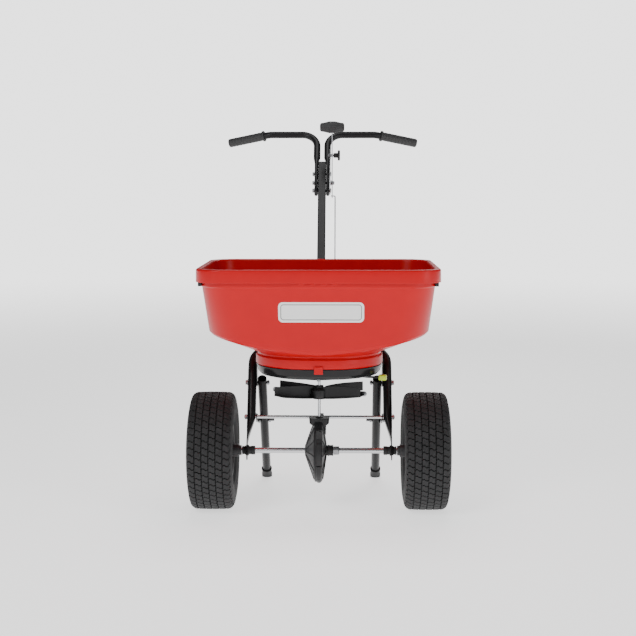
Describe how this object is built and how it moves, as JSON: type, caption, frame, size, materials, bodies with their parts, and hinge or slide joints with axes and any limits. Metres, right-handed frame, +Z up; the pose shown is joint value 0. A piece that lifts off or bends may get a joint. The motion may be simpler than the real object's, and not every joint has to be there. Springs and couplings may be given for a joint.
{
  "type": "broadcast spreader",
  "caption": "Walk-behind rotary spreader: open hopper over a bevel-geared impeller on a wheeled axle, leaning post with handlebars, rate lever and rear legs.",
  "frame": {"origin": "on the ground under the middle of the bounding box", "axes": "+X to the right along the axle, +Y towards the handlebars, +Z up"},
  "size_m": [0.727, 1.0134, 1.1059],
  "materials": {
    "frame_paint": "gloss black powder coat",
    "bright_steel": "bright drawn bar",
    "zinc_plate": "zinc plated",
    "gear_metal": "cast",
    "red_plastic": "moulded red",
    "tray_plastic": "moulded gloss black",
    "black_plastic": "moulded black",
    "rim_plastic": "moulded black",
    "grip_rubber": "moulded grip",
    "tyre_rubber": "tread rubber",
    "lime_plastic": "moulded yellow-green"
  },
  "bodies": {
    "frame": {"frame_hoop": "frame_paint", "tie_rod": "bright_steel", "leg_left": "frame_paint", "leg_right": "frame_paint", "foot_cap_left": "grip_rubber", "foot_cap_right": "grip_rubber", "brace_left": "frame_paint", "brace_right": "frame_paint", "brace_bolt_left": "zinc_plate", "brace_bolt_right": "zinc_plate", "apex_bolt_left": "zinc_plate", "apex_bolt_right": "zinc_plate", "axle_bearing_left": "black_plastic", "axle_bearing_right": "black_plastic", "post": "frame_paint", "post_cap": "black_plastic", "post_bracket": "frame_paint", "post_bolt_lower": "zinc_plate", "post_bolt_upper": "zinc_plate", "handlebar_left": "frame_paint", "handlebar_right": "frame_paint", "grip_left": "grip_rubber", "grip_right": "grip_rubber", "clamp_bolt_lower": "zinc_plate", "clamp_bolt_upper": "zinc_plate", "gauge_plate": "zinc_plate", "lever_pivot_bolt": "zinc_plate", "hopper": "red_plastic", "tray": "tray_plastic", "hopper_bolt_front": "zinc_plate", "hopper_bolt_rear": "zinc_plate", "gearbox_left": "black_plastic", "gearbox_right": "black_plastic", "gearbox_screw_front": "zinc_plate", "gearbox_screw_rear": "zinc_plate", "shaft_bushing": "black_plastic"},
    "drive_axle": {"axle": "bright_steel", "ring_gear": "gear_metal", "axle_collar": "zinc_plate", "drive_pin": "zinc_plate", "axle_cap_left": "black_plastic", "axle_cap_right": "black_plastic", "tyre_right": "tyre_rubber", "rim_right": "rim_plastic"},
    "idler_wheel": {"tyre_left": "tyre_rubber", "rim_left": "rim_plastic"},
    "impeller": {"impeller_shaft": "bright_steel", "agitator_pin": "bright_steel", "pinion": "gear_metal", "impeller": "black_plastic", "impeller_blade_left": "zinc_plate", "impeller_blade_right": "zinc_plate"},
    "lever": {"control_lever": "zinc_plate", "lever_grip": "grip_rubber"},
    "link": {"link_rod": "bright_steel"},
    "shutter": {"shutter_plate": "zinc_plate"},
    "rate_stop": {"stop_bolt": "zinc_plate"},
    "stop_knob": {"stop_knob": "black_plastic"},
    "diffuser": {"diffuser_plate": "black_plastic", "diffuser_knob": "lime_plastic"}
  },
  "joints": [
    {"name": "drive_axle_spin", "type": "hinge", "parent": "frame", "child": "drive_axle", "pos_m": [0, -0.2617, 0.165], "axis": [1, 0, 0], "continuous": true},
    {"name": "idler_wheel_spin", "type": "hinge", "parent": "frame", "child": "idler_wheel", "pos_m": [-0.297, -0.2617, 0.165], "axis": [1, 0, 0], "continuous": true},
    {"name": "impeller_spin", "type": "hinge", "parent": "frame", "child": "impeller", "pos_m": [0, -0.2617, 0.33], "axis": [0, 0, 1], "continuous": true},
    {"name": "control_lever", "type": "hinge", "parent": "frame", "child": "lever", "pos_m": [0.0325, 0.32544, 0.91186], "axis": [-1, 0, 0], "range_deg": [0, 20]},
    {"name": "link_rod_hinge", "type": "hinge", "parent": "lever", "child": "link", "pos_m": [0.042, 0.39905, 0.86936], "axis": [-1, 0, 0], "range_deg": [-16.8, 0]},
    {"name": "shutter_slide", "type": "slide", "parent": "frame", "child": "shutter", "axis": [0, -1, 0], "range_m": [0, 0.0446]},
    {"name": "rate_stop", "type": "hinge", "parent": "frame", "child": "rate_stop", "pos_m": [0.0325, 0.32544, 0.91186], "axis": [-1, 0, 0], "range_deg": [-12, 0]},
    {"name": "stop_knob_turn", "type": "hinge", "parent": "rate_stop", "child": "stop_knob", "pos_m": [0.054, 0.36295, 1.00023], "axis": [1, 0, 0], "continuous": true},
    {"name": "diffuser_turn", "type": "hinge", "parent": "frame", "child": "diffuser", "pos_m": [0, -0.2617, 0.382], "axis": [0, 0, 1], "range_deg": [-12, 12]}
  ],
  "couplings": [
    {"joint": "impeller_spin", "follows": "drive_axle_spin", "ratio": 4},
    {"joint": "link_rod_hinge", "follows": "control_lever", "ratio": -0.833},
    {"joint": "shutter_slide", "follows": "control_lever", "m_per_rad": 0.1274}
  ]
}
